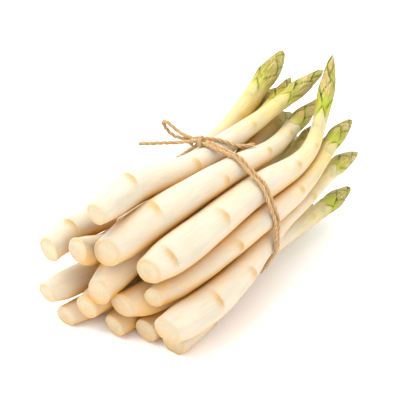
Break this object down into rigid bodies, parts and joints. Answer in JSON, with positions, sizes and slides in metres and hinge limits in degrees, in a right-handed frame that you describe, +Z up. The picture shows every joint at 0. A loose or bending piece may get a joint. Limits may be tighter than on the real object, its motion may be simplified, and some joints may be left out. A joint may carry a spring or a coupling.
{
  "type": "bundle of asparagus",
  "caption": "White asparagus with green heads in a bundle, tied with jute twine in a bow and lying on its side.",
  "frame": {"origin": "middle of the underside of the bundle's box, on the surface that it lies on", "axes": "+X along the bundle from the cut ends to the heads, +Y to its left, +Z up"},
  "size_m": [0.2304, 0.1158, 0.1245],
  "materials": {
    "asparagus": "moist, satin, fine fibres along the stem; cream, turning green and violet at the head",
    "twine": "matt, hairy, twisted jute of three strands"
  },
  "bodies": {
    "root": {"spear_a": "asparagus", "spear_b": "asparagus", "spear_c": "asparagus", "spear_d": "asparagus", "spear_e": "asparagus", "spear_f": "asparagus", "spear_g": "asparagus", "spear_h": "asparagus", "spear_i": "asparagus", "spear_j": "asparagus", "spear_k": "asparagus", "spear_l": "asparagus", "spear_m": "asparagus", "spear_n": "asparagus", "spear_o": "asparagus", "spear_p": "asparagus", "spear_q": "asparagus", "spear_r": "asparagus", "twine": "twine"}
  },
  "joints": []
}
